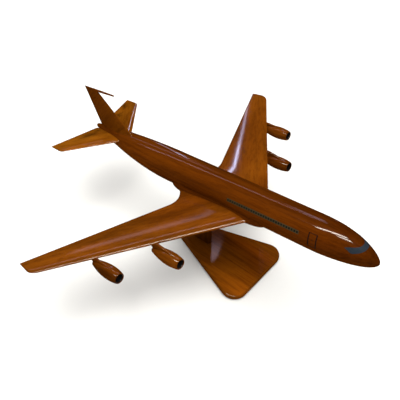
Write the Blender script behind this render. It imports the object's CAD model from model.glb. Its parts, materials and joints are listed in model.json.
"""Looks for the desktop airliner model: lacquered wood, film windows and doors, studio light and camera.

Blender works in metres in the row's frame: +X forward, +Y to port, +Z up from the table.  The shapes below
are in millimetres.  On the airframe a point is (s, y, z): s is the station aft of the nose, y is to port
and z is the height above the fuselage datum.  On the stand a point is (x, y, z) in the row's frame.
"""
import json
from math import asin, atan2, cos, exp, pi, radians, sin, sqrt, tan

import bmesh
import bpy
from mathutils import Matrix, Vector


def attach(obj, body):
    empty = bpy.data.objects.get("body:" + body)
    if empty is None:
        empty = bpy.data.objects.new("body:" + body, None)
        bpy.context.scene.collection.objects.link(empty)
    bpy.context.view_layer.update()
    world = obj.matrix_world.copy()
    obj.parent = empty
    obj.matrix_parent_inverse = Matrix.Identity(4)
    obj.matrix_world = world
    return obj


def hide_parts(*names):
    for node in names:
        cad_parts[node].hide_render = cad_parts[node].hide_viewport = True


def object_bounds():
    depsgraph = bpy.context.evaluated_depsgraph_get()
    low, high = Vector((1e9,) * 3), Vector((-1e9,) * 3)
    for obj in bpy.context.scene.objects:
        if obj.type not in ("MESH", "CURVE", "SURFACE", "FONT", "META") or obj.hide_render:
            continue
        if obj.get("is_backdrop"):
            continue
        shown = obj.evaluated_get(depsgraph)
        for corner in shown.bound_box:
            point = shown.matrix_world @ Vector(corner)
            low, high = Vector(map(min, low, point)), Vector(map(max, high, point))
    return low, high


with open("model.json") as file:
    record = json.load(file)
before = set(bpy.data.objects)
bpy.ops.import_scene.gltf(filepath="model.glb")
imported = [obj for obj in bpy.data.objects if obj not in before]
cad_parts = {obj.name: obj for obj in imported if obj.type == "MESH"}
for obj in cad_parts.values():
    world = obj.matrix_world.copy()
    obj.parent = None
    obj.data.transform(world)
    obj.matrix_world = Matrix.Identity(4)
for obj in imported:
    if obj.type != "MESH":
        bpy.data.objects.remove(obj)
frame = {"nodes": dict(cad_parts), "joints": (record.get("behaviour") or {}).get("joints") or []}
nodes = frame["nodes"]
cad_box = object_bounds()
MM = 0.001
SIDES = ((1, "left"), (-1, "right"))

# ---- The airframe's own axes, read from the swivel -----------------------------------------------
swivel = next(j for j in frame["joints"] if j["name"] == "swivel")
SEAT = Vector(swivel["pos_m"])
UP = Vector(swivel["axis"]).normalized()
PORT = Vector((0, 1, 0))
FORWARD = PORT.cross(UP)
PITCH = asin(FORWARD.z)
FIRST_STATION = 0.35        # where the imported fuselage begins
NOSE = max((v.co - SEAT).dot(FORWARD) for v in nodes["fuselage"].data.vertices) + FIRST_STATION * MM
DATUM = 27.0                # fuselage datum above the seat


def on_airframe(point):
    s, y, z = point
    return SEAT + FORWARD * (NOSE - s * MM) + PORT * (y * MM) + UP * ((DATUM + z) * MM)


def on_stand(point):
    return Vector(point) * MM


# ---- Materials -----------------------------------------------------------------------------------
class Graph:
    """A material, with short words for wiring its nodes."""

    def __init__(self, name):
        self.material = bpy.data.materials.new(name)
        self.material.use_nodes = True
        self.nodes = self.material.node_tree.nodes
        self.links = self.material.node_tree.links
        self.shader = self.nodes["Principled BSDF"]

    def wire(self, value, socket):
        if isinstance(value, bpy.types.NodeSocket):
            self.links.new(value, socket)
        else:
            socket.default_value = value

    def add(self, kind, inputs, **settings):
        node = self.nodes.new(kind)
        for key, value in settings.items():
            setattr(node, key, value)
        for key, value in inputs.items():
            self.wire(value, node.inputs[key])
        return node

    def coordinates(self, rotation=(0, 0, 0), scale=(1, 1, 1), offset=(0, 0, 0)):
        source = self.add("ShaderNodeTexCoord", {}).outputs["Object"]
        return self.add("ShaderNodeMapping", {"Vector": source, "Location": offset, "Rotation": rotation,
                                              "Scale": scale}, vector_type="TEXTURE").outputs["Vector"]

    def noise(self, vector, scale, detail=3.0, roughness=0.5, distortion=0.0):
        return self.add("ShaderNodeTexNoise", {"Vector": vector, "Scale": scale, "Detail": detail,
                                               "Roughness": roughness, "Distortion": distortion}).outputs["Fac"]

    def ramp(self, value, stops):
        node = self.add("ShaderNodeValToRGB", {"Fac": value})
        while len(node.color_ramp.elements) < len(stops):
            node.color_ramp.elements.new(0.5)
        for element, (position, colour) in zip(node.color_ramp.elements, stops):
            element.position = position
            element.color = (*colour, 1.0)
        return node.outputs["Color"]

    def mix(self, factor, a, b, blend="MIX"):
        node = self.add("ShaderNodeMix", {}, data_type="RGBA", blend_type=blend)
        self.wire(factor, node.inputs[0])
        self.wire(a if isinstance(a, bpy.types.NodeSocket) else (*a, 1.0), node.inputs[6])
        self.wire(b if isinstance(b, bpy.types.NodeSocket) else (*b, 1.0), node.inputs[7])
        return node.outputs[2]

    def span(self, value, low, high, to_low=0.0, to_high=1.0):
        return self.add("ShaderNodeMapRange", {"Value": value, "From Min": low, "From Max": high,
                                               "To Min": to_low, "To Max": to_high}).outputs["Result"]

    def knot(self, rotation, point, radius):
        """Dark factor near a point, drawn out along the grain with a ragged rim."""
        vector = self.coordinates(rotation, (KNOT_STRETCH, 1, 1), point)
        away = self.add("ShaderNodeVectorMath", {0: vector}, operation="LENGTH").outputs["Value"]
        rim = self.noise(vector, KNOT_SCALE, 3.0, 0.6)
        outer = radius * 2.4
        ragged = self.add("ShaderNodeMath", {0: rim, 1: outer, 2: away}, operation="MULTIPLY_ADD").outputs[0]
        return self.span(ragged, radius * 1.15, outer, 0.85, 0.0)

    def slope(self, direction, start, end):
        """0 to 1 between two distances along a horizontal direction."""
        vector = self.coordinates()
        dot = self.add("ShaderNodeVectorMath", {0: vector, 1: direction}, operation="DOT_PRODUCT").outputs["Value"]
        return self.span(dot, start, end)

    def bump(self, height, strength, distance):
        node = self.add("ShaderNodeBump", {"Height": height, "Strength": strength, "Distance": distance})
        self.links.new(node.outputs["Normal"], self.shader.inputs["Normal"])

    def finish(self, colour=None, roughness=None, **uniform):
        """Wires colour and roughness, and sets the shader's uniform values."""
        if colour is not None:
            self.wire(colour if isinstance(colour, bpy.types.NodeSocket) else (*colour, 1.0),
                      self.shader.inputs["Base Color"])
        if roughness is not None:
            self.wire(roughness, self.shader.inputs["Roughness"])
        for key, value in uniform.items():
            self.shader.inputs[key.replace("_", " ")].default_value = value
        return self.material


GRAIN_STRETCH = 16.0        # how much longer than wide a streak of grain is
KNOT_STRETCH = 2.4          # and a knot
FIGURE_SCALE, BLOTCH_SCALE, FINE_SCALE, PORE_SCALE, KNOT_SCALE = 38, 14, 330, 1800, 260
NO_CHANGE, DARK_END = (1, 1, 1), (0.44, 0.42, 0.40)     # factors on a colour: none, and a board's dark end
LACQUER = {"Coat_Weight": 0.35, "Coat_Roughness": 0.10, "Coat_IOR": 1.5, "Specular_IOR_Level": 0.0}


def shade(colour, factor):
    return tuple(channel * factor for channel in colour)


def lacquered_wood(name, colour, rotation, offset=0.0, contrast=1.0, knots=(), pale=None):
    """Wood with its grain along the rotated X axis, darker at worked edges, under a clear gloss lacquer.

    offset moves the figure, knots are (point, radius), and pale is the slope from a board's dark end to its pale end.
    """
    g = Graph(name)
    place = (offset, 0.7 * offset, 0.4 * offset)
    along = g.coordinates(rotation, (GRAIN_STRETCH, 1, 1), place)
    figure = g.noise(along, FIGURE_SCALE, 3.0, 0.55, 0.4)
    low, high = 1 - 0.42 * contrast, 1 + 0.38 * contrast
    tone = g.ramp(figure, ((0.3, shade(colour, low)), (0.52, colour), (0.74, shade(colour, high))))
    blotch = g.noise(g.coordinates(rotation, (2.5, 1, 1), place), BLOTCH_SCALE, 2.0, 0.5, 0.6)
    warmth = g.ramp(blotch, ((0.34, (0.72, 0.60, 0.50)), (0.55, NO_CHANGE), (0.72, NO_CHANGE)))
    wood = g.mix(0.8 * contrast, tone, g.mix(1.0, tone, warmth, "MULTIPLY"))
    fine = g.noise(along, FINE_SCALE, 4.0, 0.65, 0.2)
    streak = g.ramp(fine, ((0.36, (0.45, 0.38, 0.34)), (0.54, NO_CHANGE)))
    wood = g.mix(0.5 * contrast, wood, g.mix(1.0, wood, streak, "MULTIPLY"))
    pores = g.noise(along, PORE_SCALE, 2.0, 0.5)
    pore = g.ramp(pores, ((0.3, (0.4, 0.32, 0.3)), (0.4, NO_CHANGE)))
    wood = g.mix(0.5, wood, g.mix(1.0, wood, pore, "MULTIPLY"))
    for point, radius in knots:
        wood = g.mix(g.knot(rotation, point, radius), wood, shade(colour, 0.10))
    if pale:
        wood = g.mix(1.0, wood, g.ramp(g.slope(*pale), ((0.0, DARK_END), (1.0, NO_CHANGE))), "MULTIPLY")
    edge = g.add("ShaderNodeAttribute", {}, attribute_name="edge").outputs["Fac"]
    wood = g.mix(g.span(edge, 0, 1, 0, 0.6), wood, shade(colour, 0.3))
    g.bump(pores, 0.03, 0.0002)
    return g.finish(wood, g.span(fine, 0.3, 0.7, 0.5, 0.36), **LACQUER)


def solid_stock(name, colour, roughness, metallic, scale, variation):
    """Metal, hardwood or felt with slight variation, for the parts that are hardly seen."""
    g = Graph(name)
    cloud = g.noise(g.coordinates(), scale, 4.0, 0.6)
    g.bump(cloud, 0.1, 0.0001)
    return g.finish(g.mix(cloud, colour, shade(colour, 1 - variation)),
                    g.span(cloud, 0.3, 0.7, roughness, roughness + 0.15), Metallic=metallic)


def film(name, colour, variation, scale, coat=0.3):
    """Smooth glossy film that varies slightly between two colours."""
    g = Graph(name)
    cloud = g.noise(g.coordinates(), scale, 2.0, 0.5)
    return g.finish(g.mix(cloud, colour, variation), 0.3, Coat_Weight=coat, Coat_Roughness=0.06,
                    Specular_IOR_Level=0.1)


SWEEP = radians(36.35)      # of the wing's leading edge
FIN_SWEEP = radians(45.6)   # of the fin's
MAHOGANY_RED = (0.090, 0.0200, 0.0007)
MAHOGANY_ORANGE = (0.142, 0.037, 0.0018)
MAHOGANY_PALE = (0.205, 0.063, 0.0028)
PLATE_PALE = (0.300, 0.082, 0.0034)
MAHOGANY_DARK = (0.136, 0.034, 0.0014)
FIN_RED = (0.118, 0.030, 0.0010)


def spanwise(side):
    """Rotation that lays the grain along a swept wing."""
    return (0, -PITCH * cos(SWEEP), side * (pi / 2 + SWEEP))


KNOTS = {"left": (((-0.197, 0.035, 0.107), 0.0045), ((-0.210, 0.058, 0.104), 0.0055)),
         "right": (((-0.195, -0.027, 0.107), 0.0068), ((-0.194, -0.012, 0.107), 0.0026))}
WOOD = {
    "fuselage": lacquered_wood("fuselage_wood", MAHOGANY_RED, (0, -PITCH, 0), 0.0, 1.05),
    "fin": lacquered_wood("fin_wood", FIN_RED, (0, -PITCH - pi / 2 + FIN_SWEEP, 0), 0.11, 0.8),
    "engine": lacquered_wood("engine_wood", shade(MAHOGANY_ORANGE, 0.85), (0, -PITCH, 0), 0.23, 1.3),
    "probe": lacquered_wood("probe_wood", MAHOGANY_RED, (0, -PITCH, 0), 0.31, 0.6),
    "plate": lacquered_wood("plate_wood", PLATE_PALE, (0, 0, 0), 0.17, 1.25,
                             pale=((0.62, -0.78, 0), 0.035, 0.105)),
    "upright": lacquered_wood("upright_wood", shade(MAHOGANY_DARK, 0.5), (0, pi / 2, 0), 0.19, 0.9),
}
for side, word in SIDES:
    WOOD[f"wing_{word}"] = lacquered_wood(f"wing_wood_{word}", MAHOGANY_ORANGE, spanwise(side), 0.05 * side, 0.95)
    WOOD[f"tailplane_{word}"] = lacquered_wood(f"tail_wood_{word}", MAHOGANY_PALE, spanwise(side),
                                               0.7 + 0.1 * side, 1.0, KNOTS[word])
window_film = film("window_film", (0.002, 0.003, 0.003), (0.005, 0.007, 0.007), 600, 0.15)
border_film = film("border_film", (0.045, 0.030, 0.011), (0.058, 0.040, 0.016), 500, 0.15)
screen_film = film("screen_film", (0.014, 0.019, 0.027), (0.022, 0.028, 0.036), 500)
door_line = film("door_line", (0.006, 0.003, 0.003), (0.010, 0.005, 0.004), 500, 0.1)
black_paint = film("black_paint", (0.006, 0.005, 0.005), (0.012, 0.010, 0.009), 500)
steel = solid_stock("satin_steel", (0.56, 0.57, 0.6), 0.28, 1.0, 900, 0.15)
brass = solid_stock("turned_brass", (0.72, 0.5, 0.2), 0.25, 1.0, 700, 0.2)
dowel_wood = solid_stock("dowel_wood", (0.52, 0.35, 0.18), 0.6, 0.0, 900, 0.25)
felt = solid_stock("felt", (0.012, 0.04, 0.02), 0.85, 0.0, 2500, 0.5)

KEPT_NODES = ((steel, ("mounting_pin", "upright_screws", "nacelle_pins", "pylon_pins")),
              (brass, ("belly_bush", "seat_washer")),
              (dowel_wood, ("wing_dowels_left", "wing_dowels_right", "tailplane_dowels", "fin_dowels")),
              (felt, ("felt_sheet",)))
for material, names in KEPT_NODES:
    for name in names:
        nodes[name].data.materials.clear()
        nodes[name].data.materials.append(material)


# ---- Making meshes -------------------------------------------------------------------------------
MERGED_WITHIN, SHORTEST_EDGE = 0.004 * MM, 0.002 * MM


def piece(name, bm, materials, body, replaced=(), crease=35):
    """Turns a bmesh into a piece that rides on a body, smooth-shaded below the crease angle in degrees."""
    bmesh.ops.remove_doubles(bm, verts=bm.verts, dist=MERGED_WITHIN)
    bmesh.ops.dissolve_degenerate(bm, edges=bm.edges, dist=SHORTEST_EDGE)
    bmesh.ops.recalc_face_normals(bm, faces=bm.faces)
    mesh = bpy.data.meshes.new(name)
    bm.to_mesh(mesh)
    bm.free()
    mesh.shade_smooth()
    mesh.set_sharp_from_angle(angle=radians(crease))
    for material in materials:
        mesh.materials.append(material)
    obj = bpy.data.objects.new(name, mesh)
    bpy.context.scene.collection.objects.link(obj)
    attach(obj, body)
    if replaced:
        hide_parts(*replaced)


def skin(rings, place, edges=None):
    """Quads between rings of points, each end closed with a fan; edges says how worn each point is."""
    bm = bmesh.new()
    layer = bm.verts.layers.float.new("edge")
    grid = [[bm.verts.new(place(p)) for p in ring] for ring in rings]
    count = len(grid[0])
    if edges:
        for row, values in zip(grid, edges):
            for vert, value in zip(row, values):
                vert[layer] = value
    for row, following in zip(grid, grid[1:]):
        for i in range(count):
            j = (i + 1) % count
            bm.faces.new((row[i], row[j], following[j], following[i]))
    for row in (grid[0], grid[-1]):
        middle = bm.verts.new(sum((v.co for v in row), Vector()) / count)
        middle[layer] = sum(v[layer] for v in row) / count
        for i in range(count):
            bm.faces.new((row[i], row[(i + 1) % count], middle))
    return bm


def steps(low, high, count):
    """Evenly spaced values, both ends included."""
    return [low + (high - low) * i / (count - 1) for i in range(count)]


def circle(count):
    """Evenly spaced angles once round."""
    return steps(0, 2 * pi, count + 1)[:-1]


def between(pair, share):
    return pair[0] + (pair[1] - pair[0]) * share


def fading(distance, reach):
    """1 up to the distance 0, then fading away."""
    return min(exp(-distance / reach), 1)


# ---- Fuselage ------------------------------------------------------------------------------------
LENGTH, BODY_RADIUS, WIDTH_RATIO, HEIGHT_RATIO = 438.6, 21.0, 0.962, 1.064
NOSE_LENGTH, NOSE_BLUNTNESS = 75.0, 0.58
TAIL_START, TAIL_TAPER, TAIL_END_RADIUS = 290.0, 1.9, 2.3
BODY_DROP_FRONT, BODY_DROP_REAR = -3.2, -1.2
NOSE_DROOP, NOSE_DROOP_LENGTH = 5.2, 55.0
TAIL_RISE, TAIL_RISE_LENGTH, TAIL_RISE_POWER = 12.9, 140.0, 1.6
TAIL_ROUNDING = 3.0         # length of the rounded end of the tail cone
BODY_POINTS = 152
NOSE_RINGS, MIDDLE_RINGS, TAIL_RINGS = 84, 96, 8
FIRST_RING, LAST_RING = 0.006, 0.998    # shares of the rounded ends that have rings; a fan closes the rest
CENTRE_SMOOTHING = 12.0     # half the length over which the line of centres is averaged


def body_radius(s):
    """Radius of the body at a station, before its width and height ratios."""
    if s < NOSE_LENGTH:
        return BODY_RADIUS * (1 - (1 - s / NOSE_LENGTH) ** 2) ** NOSE_BLUNTNESS
    r = BODY_RADIUS
    if s > TAIL_START:
        r -= (BODY_RADIUS - TAIL_END_RADIUS) * ((s - TAIL_START) / (LENGTH - TAIL_START)) ** TAIL_TAPER
    into_end = (s - (LENGTH - TAIL_ROUNDING)) / TAIL_ROUNDING
    return r * sqrt(max(1 - into_end ** 2, 0)) if into_end > 0 else r


def exact_centre(s):
    """Height of a section's centre, straight in the middle, drooping to the nose and rising to the tail."""
    along = min(max((s - NOSE_LENGTH) / (TAIL_START - NOSE_LENGTH), 0), 1)
    z = BODY_DROP_FRONT + (BODY_DROP_REAR - BODY_DROP_FRONT) * along
    if s < NOSE_DROOP_LENGTH:
        z -= NOSE_DROOP * (1 - s / NOSE_DROOP_LENGTH) ** 2
    tail = s - (LENGTH - TAIL_RISE_LENGTH)
    return z + (TAIL_RISE * (tail / TAIL_RISE_LENGTH) ** TAIL_RISE_POWER if tail > 0 else 0)


def body_centre(s):
    """Height of a section's centre, with the slight kinks of the formula averaged out."""
    reach = min(CENTRE_SMOOTHING, s, LENGTH - s)
    return sum(exact_centre(s + reach * k / 4) for k in range(-4, 5)) / 9


def on_body(s, angle, proud=0.0):
    """Point of the body's surface at an angle from straight up, positive to starboard."""
    r = body_radius(s)
    return (s, -(r * WIDTH_RATIO + proud) * sin(angle), body_centre(s) + (r * HEIGHT_RATIO + proud) * cos(angle))


nose_stations = [NOSE_LENGTH * (1 - cos(pi / 2 * t)) for t in steps(FIRST_RING, 1, NOSE_RINGS)]
tail_end_stations = [LENGTH - TAIL_ROUNDING * (1 - sin(pi / 2 * t)) for t in steps(0, LAST_RING, TAIL_RINGS)]
body_stations = nose_stations + steps(NOSE_LENGTH, LENGTH - TAIL_ROUNDING, MIDDLE_RINGS)[1:-1] + tail_end_stations
body_rings = [[on_body(s, 2 * pi * i / BODY_POINTS) for i in range(BODY_POINTS)] for s in body_stations]
piece("fuselage_skin", skin(body_rings, on_airframe), [WOOD["fuselage"]], "airframe", ["fuselage"])

# ---- Belly fairing -------------------------------------------------------------------------------
FAIRING_START, FAIRING_END, FAIRING_Z, FAIRING_BOTTOM, FAIRING_HALF_WIDTH = 133.0, 282.0, -14.0, -26.4, 22.7
FAIRING_BLUNTNESS, FAIRING_END_TURN, FAIRING_RINGS, FAIRING_POINTS = 5.0, 0.015, 64, 72
fairing_rings = []
for turn in steps(FAIRING_END_TURN, pi - FAIRING_END_TURN, FAIRING_RINGS):
    v = -cos(turn)
    swell = (1 - abs(v) ** FAIRING_BLUNTNESS) ** (1 / FAIRING_BLUNTNESS)
    s = (FAIRING_START + FAIRING_END) / 2 + (FAIRING_END - FAIRING_START) / 2 * v
    fairing_rings.append([(s, FAIRING_HALF_WIDTH * swell * cos(a),
                           FAIRING_Z + (FAIRING_Z - FAIRING_BOTTOM) * swell * sin(a))
                          for a in circle(FAIRING_POINTS)])
piece("belly_fairing_skin", skin(fairing_rings, on_airframe), [WOOD["fuselage"]], "airframe",
      ["belly_fairing"])

# ---- Blades: wings, tailplanes, fin --------------------------------------------------------------
THICKEST = 0.3              # where along the chord a section is thickest
THINNEST_TIP = 0.15         # share of the thickness left at the very tip
SIDE_POINTS, NOSE_POINTS, EDGE_POINTS = 22, 57, 7
CROWDING = 0.65             # how far the nose points crowd towards the leading edge, where it turns fastest
RAKED_SHARE = 0.1           # share of the span, at the tip, over which the end is raked
EDGE_WEAR = 1.2             # how far the dark of a worked edge reaches
TIP_WEAR = 2.5              # and how much less far at the tip


def blade_profile(chord, thickness, edge, scale):
    """Closed outline (x aft of the leading edge, height) of a section; scale thins it towards a rounded tip."""
    shoulder, half, end = THICKEST * chord, thickness / 2, chord - edge / 2
    drop, run = half - edge / 2, chord - shoulder
    radius = (run ** 2 + drop ** 2) / (2 * drop)

    def side_height(x):
        return half - radius + sqrt(radius ** 2 - (x - shoulder) ** 2)

    upper = [(x, side_height(x)) for x in steps(end, shoulder, SIDE_POINTS)]
    nose = []
    for turn in steps(0, pi, NOSE_POINTS):
        crowded = pi / 2 - atan2(half * sin(pi / 2 - turn), shoulder * cos(pi / 2 - turn))
        a = (1 - CROWDING) * turn + CROWDING * crowded
        nose.append((shoulder - shoulder * sin(a), half * cos(a)))
    lower = [(x, -h) for x, h in reversed(upper)]
    round_edge = [(end + edge / 2 * cos(a), side_height(end) * sin(a)) for a in steps(-pi / 2, pi / 2, EDGE_POINTS)]
    outline = upper + nose[1:-1] + lower + round_edge[1:-1]
    return [(x, h * scale) for x, h in outline]


def make_blade(name, spans, le, te, thickness, edge, corner, rounding, rake, put, body_wood, replaced):
    """A blade along spans, root first.

    le, te and thickness are functions of the span, edge is how thick the trailing edge is, corner is how far the
    front corner of the tip is rounded (along the chord, along the span), rounding is how far from the tip it thins,
    rake is how far the tip's rear corner is drawn in, and put makes a point.
    """
    rings, edges = [], []
    tip = spans[-1]
    for v in spans:
        from_tip = tip - v
        scale = max(sqrt(max(1 - max(1 - from_tip / rounding, 0) ** 2, 0)), THINNEST_TIP)
        set_back = corner[0] * (1 - sqrt(max(1 - max(1 - from_tip / corner[1], 0) ** 2, 0)))
        front = le(v) + set_back
        chord = te(v) - front
        near_tip = max(1 - from_tip / (RAKED_SHARE * tip), 0)
        ring, darks = [], []
        for x, h in blade_profile(chord, thickness(v), edge, scale):
            across = v - rake * near_tip * x / chord
            ring.append(put(front + x * (te(across) - front) / chord, across, h))
            to_edge = min(chord - x, TIP_WEAR * from_tip)
            darks.append(exp(-(to_edge / EDGE_WEAR) ** 2))
        rings.append(ring)
        edges.append(darks)
    piece(name, skin(rings, on_airframe, edges), [body_wood], "airframe", replaced)


def tip_steps(tip, depth):
    """Spans that crowd towards a rounded tip."""
    return [tip - depth * (1 - sin(pi / 2 * t)) for t in steps(0, 1, 12)]


WING_TIP, WING_ROOT_Y, WING_FILLET_Y = 224.4, 12.0, 54.0
WING_LE, WING_TE, WING_Z = (139.3, 0.736), (229.8, 0.447), (-14.3, -17.4)
WING_FILLET_DEPTH, WING_FILLET_POWER = 41.0, 2.35
WING_THICKNESS, WING_EDGE = (9.5, 3.6), 1.3
WING_CORNER, WING_ROUNDING, WING_RAKE = (6.5, 7.5), 1.7, 2.2
WING_DENSE_Y, WING_PLAIN_Y, WING_TIP_DEPTH = 30, 215, 8.0   # where the rings' spacing changes, and the tip's depth
ROOT_BLEND = (20.0, 1.4, 2.2)   # half width of the body there, swelling of the blade, and how fast it fades


def wing_share(y):
    return (y - WING_ROOT_Y) / (WING_TIP - WING_ROOT_Y)


def wing_le(y):
    return WING_LE[0] + WING_LE[1] * y


def wing_te(y):
    s = WING_TE[0] + WING_TE[1] * y
    if y < WING_FILLET_Y:
        s += WING_FILLET_DEPTH * ((WING_FILLET_Y - y) / (WING_FILLET_Y - WING_ROOT_Y)) ** WING_FILLET_POWER
    return s


def wing_z(y):
    return between(WING_Z, wing_share(y))


def wing_thickness(y):
    return between(WING_THICKNESS, wing_share(y)) + ROOT_BLEND[1] * fading(y - ROOT_BLEND[0], ROOT_BLEND[2])


wing_spans = (steps(WING_ROOT_Y, WING_DENSE_Y, 19) + steps(WING_DENSE_Y, WING_FILLET_Y, 14)[1:]
              + steps(WING_FILLET_Y, WING_PLAIN_Y, 44)[1:] + tip_steps(WING_TIP, WING_TIP_DEPTH))
for side, word in SIDES:
    make_blade(f"wing_skin_{word}", wing_spans, wing_le, wing_te, wing_thickness, WING_EDGE, WING_CORNER,
               WING_ROUNDING, WING_RAKE, lambda s, y, h, side=side: (s, side * y, wing_z(y) + h),
               WOOD[f"wing_{word}"], [f"wing_{word}"])

TAILPLANE_TIP, TAILPLANE_ROOT_Y, TAILPLANE_Z = 72.8, 5.0, 10.0
TAILPLANE_LE, TAILPLANE_TE, TAILPLANE_THICKNESS = (369.8, 0.848), (433.2, 0.282), (6.0, 2.6)
TAILPLANE_CORNER, TAILPLANE_ROUNDING, TAILPLANE_PLAIN_Y, TAILPLANE_TIP_DEPTH = (3.0, 3.0), 1.2, 69, 3.4
TAIL_EDGE = 1.0


def tailplane_thickness(y):
    return between(TAILPLANE_THICKNESS, (y - TAILPLANE_ROOT_Y) / (TAILPLANE_TIP - TAILPLANE_ROOT_Y))


tailplane_spans = steps(TAILPLANE_ROOT_Y, TAILPLANE_PLAIN_Y, 30) + tip_steps(TAILPLANE_TIP, TAILPLANE_TIP_DEPTH)
for side, word in SIDES:
    make_blade(f"tailplane_skin_{word}", tailplane_spans,
               lambda y: TAILPLANE_LE[0] + TAILPLANE_LE[1] * y, lambda y: TAILPLANE_TE[0] + TAILPLANE_TE[1] * y,
               tailplane_thickness, TAIL_EDGE, TAILPLANE_CORNER, TAILPLANE_ROUNDING, 0.0,
               lambda s, y, h, side=side: (s, side * y, TAILPLANE_Z + h), WOOD[f"tailplane_{word}"],
               [f"tailplane_{word}"])

FIN_BASE_Z, FIN_TOP_Z, FIN_LE, FIN_TE, FIN_THICKNESS = 6.0, 73.0, (345.0, 1.02), (422.6, 0.293), (7.0, 2.6)
FIN_CORNER, FIN_ROUNDING, FIN_DENSE_Z, FIN_PLAIN_Z, FIN_TIP_DEPTH = (0.8, 0.7), 0.7, 32, 72, 0.8
FIN_BLEND = (17.5, 3.4, 2.0, 7.0)   # height, swelling, how fast it fades, and its reach ahead of the fin


def fin_blend(z):
    return fading(z - FIN_BLEND[0], FIN_BLEND[2])


def fin_thickness(z):
    share = (z - FIN_BASE_Z) / (FIN_TOP_Z - FIN_BASE_Z)
    return between(FIN_THICKNESS, share) + FIN_BLEND[1] * fin_blend(z)


fin_spans = (steps(FIN_BASE_Z, FIN_DENSE_Z, 40) + steps(FIN_DENSE_Z, FIN_PLAIN_Z, 24)[1:]
             + tip_steps(FIN_TOP_Z, FIN_TIP_DEPTH))
make_blade("fin_skin", fin_spans,
           lambda z: FIN_LE[0] + FIN_LE[1] * z - FIN_BLEND[3] * fin_blend(z), lambda z: FIN_TE[0] + FIN_TE[1] * z,
           fin_thickness, TAIL_EDGE, FIN_CORNER, FIN_ROUNDING, 0.0, lambda s, z, h: (s, h, z), WOOD["fin"],
           ["fin"])

PROBE_PLACES = ((443.5, 72.3, 0.6), (416.0, 72.2, 1.7), (384.8, 73.7, 1.1))     # station, height, radius
PROBE_POINTS, PROBE_END = 24, 0.9       # points round it, and length of its rounded ends as a share of the radius
probe_line = []
for start, end in zip(PROBE_PLACES, PROBE_PLACES[1:]):
    probe_line += [tuple(a + (b - a) * t for a, b in zip(start, end)) for t in steps(0, 1, 10)]
probe_rings = [[(s, r * cos(a), z + r * sin(a)) for a in circle(PROBE_POINTS)] for s, z, r in probe_line]
for (s, z, r), ahead in ((PROBE_PLACES[0], 1), (PROBE_PLACES[2], -1)):
    caps = [[(s + ahead * PROBE_END * r * sin(t), r * cos(t) * cos(a), z + r * cos(t) * sin(a))
             for a in circle(PROBE_POINTS)] for t in steps(0.3, 1.5, 5)]
    probe_rings = caps[::-1] + probe_rings if ahead > 0 else probe_rings + caps
piece("fin_probe_skin", skin(probe_rings, on_airframe), [WOOD["probe"]], "airframe", ["fin_probe"])

# ---- Engines -------------------------------------------------------------------------------------
ENGINES = {"inner": (107.5, -28.7, 184.1), "outer": (164.4, -26.3, 223.8)}      # y, z, front station
NACELLE_LENGTH, LIP_RADIUS, INLET_RADIUS, INLET_DEPTH = 42.5, 6.7, 5.5, 5.0
LIP_START, LIP_END, LIP_BULGE, LIP_TURN = 0.2, 0.6, 0.8, 0.15
EXHAUST_RADIUS, EXHAUST_DEPTH = 2.7, 1.6
EXHAUST_RIM = ((0.0, 3.45), (0.0, 3.0), (0.2, 2.75))    # ahead of the end, radius
NACELLE_POINTS = ((0.0, 6.7), (10.625, 8.4), (25.5, 7.812), (42.5, 3.8))
NACELLE_RADIUS, NACELLE_RING = 8.4, 64
LIP_WEAR = 0.5              # how dark the lip's wood is worn
PYLON_HALF = 1.6            # half its thickness
PYLON_START, PYLON_END = 5.0, 11.5      # aft of the inlet, and aft of the wing's leading edge
PYLON_CREST = (6.5, 0.2)    # where its straight top begins: aft of the inlet, and above the nacelle
PYLON_NOSE = (4, 2.2, 0.35)     # length of its tapered front, drop of the top there, and how thin it starts
PYLON_JOIN = (2, 0.8, 0.06)     # where it meets the wing: ahead of the leading edge, above the wing's middle, fall
PYLON_FOOT = (2, 2.2)       # how far above the nacelle's axis its bottom is, and its least depth
PYLON_TAIL = (6, 3.5)       # where the bottom rises, aft of the leading edge, and how far under the wing it ends


def through_points(x, points):
    """Cubic through four points."""
    total = 0
    for i, (xi, yi) in enumerate(points):
        term = yi
        for k, (xk, _) in enumerate(points):
            if k != i:
                term *= (x - xk) / (xi - xk)
        total += term
    return total


def nacelle_profile():
    """(x, radius, inside) from the middle of the inlet's floor round to the middle of the exhaust's floor."""
    line = [(INLET_DEPTH, r, True) for r in (1.5, 3.5, INLET_RADIUS)]
    line += [(x, INLET_RADIUS, True) for x in (3.5, 1.6, 0.6)]
    middle, half = (LIP_RADIUS + INLET_RADIUS) / 2, (LIP_RADIUS - INLET_RADIUS) / 2
    line += [(LIP_START - LIP_BULGE * sin(a), middle - half * cos(a), False)
             for a in steps(LIP_TURN, pi - LIP_TURN, 8)]
    line += [(x, through_points(x, NACELLE_POINTS), False) for x in steps(LIP_END, NACELLE_LENGTH - 0.5, 36)]
    line += [(NACELLE_LENGTH - ahead, r, False) for ahead, r in EXHAUST_RIM]
    line += [(NACELLE_LENGTH - EXHAUST_DEPTH, r, True) for r in (EXHAUST_RADIUS, 1.4)]
    return line


def make_nacelle(name, side, y, z, front, node):
    """Hollow-ended engine; the skin's faces come band by band, then the two end fans, which are black too."""
    line = nacelle_profile()
    rings = [[(front + x, side * y + r * cos(a), z + r * sin(a)) for a in circle(NACELLE_RING)] for x, r, _ in line]
    bm = skin(rings, on_airframe, [[0.0 if x > 1 else LIP_WEAR] * NACELLE_RING for x, _, _ in line])
    bm.faces.ensure_lookup_table()
    for index, face in enumerate(bm.faces):
        band = index // NACELLE_RING
        if band >= len(line) - 1 or line[band][2] or line[band + 1][2]:
            face.material_index = 1
    piece(name, bm, [WOOD["engine"], black_paint], "airframe", [node])


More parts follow.
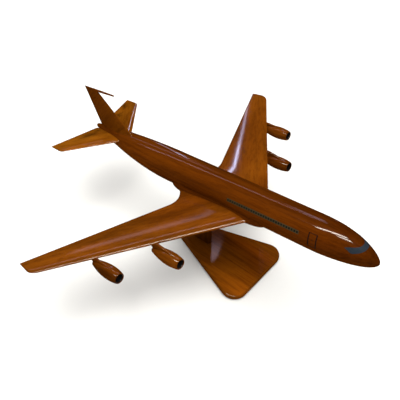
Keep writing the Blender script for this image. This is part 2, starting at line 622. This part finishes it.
def make_pylon(name, side, y, z, front, node):
    """Thin strut with a rounded top edge, from above the inlet to the wing's leading edge and just under the wing."""
    le, wing_height = wing_le(y), wing_z(y)
    nose_length, nose_drop, thin = PYLON_NOSE
    join, above, fall = PYLON_JOIN
    foot, least_depth = PYLON_FOOT
    rise_from, under = PYLON_TAIL
    crest = (front + PYLON_CREST[0], z + NACELLE_RADIUS + PYLON_CREST[1])
    meeting = (le - join, wing_height + above)
    rings = []
    for s in steps(front + PYLON_START, le + PYLON_END, 40):
        into_nose = (s - front - PYLON_START) / nose_length
        if s < le - join:
            top = crest[1] + (meeting[1] - crest[1]) * (s - crest[0]) / (meeting[0] - crest[0])
            top -= nose_drop * max(1 - into_nose, 0) ** 2
        else:
            top = meeting[1] - (s - le + join) * fall
        low = z + foot
        if s >= le + rise_from:
            low += (wing_height - under - z - foot) * (s - le - rise_from) / rise_from
        bottom = min(low, top - least_depth)
        half = PYLON_HALF * min(1, thin + into_nose)
        arcs = [(half * cos(a), top - half + half * sin(a)) for a in steps(0, pi, 13)]
        base = [(-half, bottom), (half, bottom)]
        rings.append([(s, side * y + dy, h) for dy, h in arcs + base])
    piece(name, skin(rings, on_airframe), [WOOD["engine"]], "airframe", [node], 50)


for ring_name, (y, z, front) in ENGINES.items():
    for side, word in SIDES:
        make_nacelle(f"nacelle_skin_{ring_name}_{word}", side, y, z, front, f"nacelle_{ring_name}_{word}")
        make_pylon(f"pylon_skin_{ring_name}_{word}", side, y, z, front, f"pylon_{ring_name}_{word}")

# ---- Stand ---------------------------------------------------------------------------------------
FELT_THICKNESS, PLATE_THICKNESS, PLATE_EDGE = 1.0, 7.0, 2.2
PLATE_APEX_X, PLATE_FRONT_X, PLATE_HALF_WIDTH, PLATE_CORNER = -85.5, 95.3, 59.9, 18.0
UPRIGHT_FOOT, UPRIGHT_TOP, UPRIGHT_FRONT_X = (46.0, 9.5), (26.0, 8.5), 8.2
WASHER_THICKNESS, SEAT_GAP = 1.2, 0.05     # the gap keeps the upright's skin clear of the washer as it turns
PLATE_FACE_INSETS = (8, 0.4)            # rings on the plate's flat faces, in from its rounded edge
PLATE_WORN_SHARE = 0.8                  # of the rounded edge's inset that counts as edge


def rounded_triangle(inset, z):
    """Ring round the plate, drawn in by inset: three corner arcs joined by straight sides."""
    half_angle = atan2(PLATE_HALF_WIDTH, PLATE_FRONT_X - PLATE_APEX_X)
    radius = PLATE_CORNER - inset
    apex = PLATE_APEX_X + PLATE_CORNER / sin(half_angle)
    front = PLATE_FRONT_X - PLATE_CORNER
    wide = PLATE_HALF_WIDTH - PLATE_CORNER / tan(pi / 4 - half_angle / 2)
    outline = []
    for centre, start, end in (((front, wide), 0, pi / 2 + half_angle),
                               ((apex, 0), pi / 2 + half_angle, 3 * pi / 2 - half_angle),
                               ((front, -wide), 3 * pi / 2 - half_angle, 2 * pi)):
        outline += [(centre[0] + radius * cos(a), centre[1] + radius * sin(a), z) for a in steps(start, end, 24)]
    return outline


plate_rings, plate_edges = [], []
rim = [(PLATE_EDGE * (1 - sin(t)), PLATE_EDGE * (1 - cos(t))) for t in steps(0, pi / 2, 9)]
top_z, bottom_z = FELT_THICKNESS + PLATE_THICKNESS, FELT_THICKNESS
levels = [(PLATE_EDGE + inset, bottom_z) for inset in PLATE_FACE_INSETS]
levels += [(inset, bottom_z + rise) for inset, rise in rim]
levels += [(inset, top_z - rise) for inset, rise in reversed(rim)]
levels += [(PLATE_EDGE + inset, top_z) for inset in reversed(PLATE_FACE_INSETS)]
for inset, z in levels:
    plate_rings.append(rounded_triangle(inset, z))
    plate_edges.append([1.0 if inset <= PLATE_EDGE * PLATE_WORN_SHARE else 0.0] * len(plate_rings[-1]))
piece("base_plate_skin", skin(plate_rings, on_stand, plate_edges), [WOOD["plate"]], "stand",
      ["base_plate"])


def slot_outline(middle, size):
    """Stadium, longest along X, as (x, y) pairs."""
    r, straight = size[1] / 2, (size[0] - size[1]) / 2
    return ([(middle + straight + r * cos(a), r * sin(a)) for a in steps(-pi / 2, pi / 2, 17)]
            + [(middle - straight - r * cos(a), -r * sin(a)) for a in steps(-pi / 2, pi / 2, 17)])


foot = [Vector((x, y, top_z)) for x, y in slot_outline(UPRIGHT_FRONT_X - UPRIGHT_FOOT[0] / 2, UPRIGHT_FOOT)]
top = [(SEAT + FORWARD * x * MM + PORT * y * MM - UP * (WASHER_THICKNESS + SEAT_GAP) * MM) / MM
       for x, y in slot_outline(UPRIGHT_FRONT_X - UPRIGHT_TOP[0] / 2, UPRIGHT_TOP)]
upright_rings = [[low.lerp(high, t) for low, high in zip(foot, top)] for t in steps(0, 1, 12)]
piece("upright_skin", skin(upright_rings, on_stand), [WOOD["upright"]], "stand", ["upright"], 40)

# ---- Windows, windscreen and doors: thin films that follow the body ------------------------------
FILM = 0.12                 # how far a film stands out of the wood
FILM_ROOT = -0.15           # and how far its hidden face is sunk in it


def angle_at(s, height):
    """Angle round the body, on the starboard side, at which its surface is at a height."""
    r = body_radius(s) * HEIGHT_RATIO
    return pi / 2 - asin(max(min((height - body_centre(s)) / r, 1), -1))


def patch(bm, grid, lift=FILM):
    """Closed thin slab over a grid of (station, angle) places on the body."""
    layers = [[[bm.verts.new(on_airframe(on_body(s, a, proud))) for s, a in row] for row in grid]
              for proud in (lift, FILM_ROOT)]
    rows, columns = len(grid), len(grid[0])
    for layer in layers:
        for i in range(rows - 1):
            for k in range(columns - 1):
                bm.faces.new((layer[i][k], layer[i][k + 1], layer[i + 1][k + 1], layer[i + 1][k]))
    border = ([(0, k) for k in range(columns)] + [(i, columns - 1) for i in range(1, rows)]
              + [(rows - 1, k) for k in reversed(range(columns - 1))]
              + [(i, 0) for i in reversed(range(1, rows - 1))])
    for (i, k), (i2, k2) in zip(border, border[1:] + border[:1]):
        bm.faces.new((layers[0][i][k], layers[0][i2][k2], layers[1][i2][k2], layers[1][i][k]))


def side_patch(bm, side, stations, low, high, lift=FILM):
    """Slab on one side of the body, between two heights."""
    patch(bm, [[(s, -side * angle_at(s, z)) for z in steps(low, high, 5)] for s in stations], lift)


WINDOW_Z, WINDOW_SIZE, WINDOW_PITCH, WINDOWS_FROM, WINDOW_COUNT = 4.5, (1.9, 2.5), 3.4, 87.5, 29
BORDER = 0.9                # of clear film above and below the windows
DOOR_STATIONS, DOOR_HEIGHTS, DOOR_LINE = (64.0, 73.4), (-6.4, 9.8), 1.25
DOOR_SILL = 0.25            # half the width of the lines along its top and bottom
DOOR_PAST = 0.1             # how far its upright lines run past the door's heights
DOOR_OVERLAP = 0.4          # how far those lines run past an upright line's middle, as a share of its width
HANDLE = (68.4, 2.9, 0.9)   # station, height and size of the door's small square mark

low_z, high_z = WINDOW_Z - WINDOW_SIZE[1] / 2, WINDOW_Z + WINDOW_SIZE[1] / 2
last = WINDOWS_FROM + WINDOW_PITCH * (WINDOW_COUNT - 1)
for side, word in SIDES:
    bm = bmesh.new()
    side_patch(bm, side, steps(WINDOWS_FROM - 2, last + 2, 80), low_z - BORDER, high_z + BORDER, 0.5 * FILM)
    piece(f"window_border_{word}", bm, [border_film], "airframe")
    bm = bmesh.new()
    for i in range(WINDOW_COUNT):
        middle = WINDOWS_FROM + WINDOW_PITCH * i
        side_patch(bm, side, steps(middle - WINDOW_SIZE[0] / 2, middle + WINDOW_SIZE[0] / 2, 4), low_z, high_z)
    piece(f"cabin_windows_{word}", bm, [window_film], "airframe")
    bm = bmesh.new()
    for s in DOOR_STATIONS:
        side_patch(bm, side, (s - DOOR_LINE / 2, s + DOOR_LINE / 2),
                   DOOR_HEIGHTS[0] - DOOR_PAST, DOOR_HEIGHTS[1] + DOOR_PAST)
    across = steps(DOOR_STATIONS[0] - DOOR_OVERLAP * DOOR_LINE, DOOR_STATIONS[1] + DOOR_OVERLAP * DOOR_LINE, 14)
    for z in DOOR_HEIGHTS:
        side_patch(bm, side, across, z - DOOR_SILL, z + DOOR_SILL)
    s, z, size = HANDLE
    side_patch(bm, side, (s - size / 2, s + size / 2), z - size / 2, z + size / 2)
    piece(f"door_outline_{word}", bm, [door_line], "airframe")

# The windscreen is a band round the nose, seen from ahead as heights against distance from the centreline
SCREEN_HALF_WIDTH = 13.2
SCREEN_TOP, SCREEN_TOP_SLOPE = 8.8, 0.08
SCREEN_CORNER = (10.5, 3.5, 1.4)        # where the top corner starts to round, over how far, and how deep
SCREEN_BOTTOM, SCREEN_SAG = 6.1, (12.5, 3.4, 1.6)   # the lower edge, and its fall: over how far, how deep, power
HALVINGS = 40


def screen_top(y):
    start, length, depth = SCREEN_CORNER
    return SCREEN_TOP - SCREEN_TOP_SLOPE * abs(y) - depth * max((abs(y) - start) / length, 0) ** 2


def screen_bottom(y):
    length, depth, power = SCREEN_SAG
    return SCREEN_BOTTOM - depth * min(abs(y) / length, 1) ** power


def body_at(y, z):
    """Station and angle where the body's front, seen from ahead, is at (y, z)."""
    near, far = 0.05, NOSE_LENGTH
    for _ in range(HALVINGS):
        s = (near + far) / 2
        r = body_radius(s)
        outside = (y / (r * WIDTH_RATIO)) ** 2 + ((z - body_centre(s)) / (r * HEIGHT_RATIO)) ** 2 > 1
        near, far = (s, far) if outside else (near, s)
    r = body_radius(s)
    return s, atan2(-y / WIDTH_RATIO, (z - body_centre(s)) / HEIGHT_RATIO)


bm = bmesh.new()
patch(bm, [[body_at(y, z) for z in steps(screen_bottom(y), screen_top(y), 6)]
           for y in steps(-SCREEN_HALF_WIDTH, SCREEN_HALF_WIDTH, 60)])
piece("windscreen", bm, [screen_film], "airframe")

# ---- Camera --------------------------------------------------------------------------------------
AZIMUTH, ELEVATION, DISTANCE, LENS = radians(40.80), radians(45.69), 0.7227, 49.69
TARGET = Vector((-11.45, -0.22, 79.7)) * MM
away = Vector((sin(AZIMUTH) * cos(ELEVATION), -cos(AZIMUTH) * cos(ELEVATION), sin(ELEVATION)))
camera_data = bpy.data.cameras.new("camera")
camera_data.lens = LENS
camera_data.sensor_width = 36.0
camera = bpy.data.objects.new("camera", camera_data)
camera.location = TARGET + away * DISTANCE
camera.rotation_euler = away.to_track_quat("Z", "Y").to_euler()
bpy.context.scene.collection.objects.link(camera)
bpy.context.scene.camera = camera

# ---- Floor and light -----------------------------------------------------------------------------
FLOOR_SIZE = 80             # metres, so that it fills the photo's view; lower views show its far edge
PAPER = ((0.775, 0.77, 0.745), (0.79, 0.785, 0.76))
WORLD_COLOUR, WORLD_STRENGTH = (0.96, 0.98, 1.0, 1), 0.6

bpy.ops.mesh.primitive_plane_add(size=FLOOR_SIZE)
floor = bpy.context.object
floor.name = "floor"
g = Graph("floor_paper")
floor.data.materials.append(g.finish(g.mix(g.noise(g.coordinates(), 3.0), *PAPER), 0.9, Specular_IOR_Level=0.1))
floor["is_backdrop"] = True
floor.visible_glossy = False    # its reflection put a pale, hard-edged band along the body, which the photo lacks

world = bpy.data.worlds.new("world")
world.use_nodes = True
background = world.node_tree.nodes["Background"]
background.inputs["Color"].default_value = WORLD_COLOUR
background.inputs["Strength"].default_value = WORLD_STRENGTH
bpy.context.scene.world = world
world.cycles_visibility.glossy = False
bpy.context.scene.view_settings.view_transform = "Standard"


def highlight(name, location, rotation, size, radiance, colour):
    """Rectangular light that only shows as a highlight."""
    data = bpy.data.lights.new(name, "AREA")
    data.shape = "RECTANGLE"
    data.size, data.size_y = size
    data.energy = radiance * pi * size[0] * size[1]
    data.color = colour
    light = bpy.data.objects.new(name, data)
    light.location = location
    light.rotation_euler = rotation
    light.visible_diffuse = False
    bpy.context.scene.collection.objects.link(light)


def direction(azimuth, elevation):
    a, e = radians(azimuth), radians(elevation)
    return Vector((cos(a) * cos(e), sin(a) * cos(e), sin(e)))


MIDDLE = Vector((0, 0, 0.12))
LIGHT_DISTANCE = 1.5
WARM, COOL, PINK = (1.0, 0.95, 0.84), (0.62, 0.68, 1.0), (0.95, 0.74, 0.92)
SKY_STRENGTH, SKY_SOFTNESS, SKY_COLOUR, SKY_FROM = 3.9, radians(55), (1.0, 0.985, 0.96), (0.16, 0.0, 1.0)
sky_data = bpy.data.lights.new("overhead_sky", "SUN")
sky_data.energy, sky_data.angle, sky_data.color = SKY_STRENGTH, SKY_SOFTNESS, SKY_COLOUR
sky = bpy.data.objects.new("overhead_sky", sky_data)
sky.rotation_euler = Vector(SKY_FROM).to_track_quat("Z", "Y").to_euler()
sky.visible_glossy = False
bpy.context.scene.collection.objects.link(sky)


def reflection(name, start, end, width, radiance, colour):
    """Highlight strip between two directions given as azimuth and elevation."""
    low, high = (direction(*place) * LIGHT_DISTANCE for place in (start, end))
    back = (low + high).normalized()
    along = (high - low).normalized()
    rotation = Matrix((along, back.cross(along), back)).transposed().to_euler()
    highlight(name, MIDDLE + (low + high) / 2, rotation, ((high - low).length, width), radiance, colour)


reflection("window_low", (134.3, 2), (135.4, 19), 0.020, 16, COOL)
reflection("window_middle", (135.4, 19), (136.7, 22.3), 0.020, 26, COOL)
reflection("window_bright", (136.7, 22.3), (138.6, 26.2), 0.020, 75, COOL)
reflection("window_high", (138.6, 26.2), (137.4, 30), 0.030, 6, PINK)
reflection("strip_wing", (142, 37.6), (167, 30), 0.070, 4, PINK)
reflection("strip_body", (122, 60), (192, 34), 0.030, 17, PINK)
reflection("panel_plate", (118.5, 51.6), (134.0, 51.6), 0.20, 7, PINK)
TUBE_HEIGHT, TUBE_WIDTH, TUBE_RADIANCE, TUBE_TURN = 1.5, 0.085, 85, radians(46)
tube_direction = Vector((cos(TUBE_TURN), sin(TUBE_TURN), 0))
for name, ahead, length in (("tube_one", (0.22, 0.0, 0), 1.15), ("tube_two", (0.38, -0.18, 0), 0.55)):
    middle = Vector(ahead) - tube_direction * length / 2 + Vector((0, 0, TUBE_HEIGHT))
    highlight(name, middle, (0, 0, TUBE_TURN), (length, TUBE_WIDTH), TUBE_RADIANCE, WARM)

size = {"cad": [list(corner) for corner in cad_box], "visual": [list(corner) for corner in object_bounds()]}
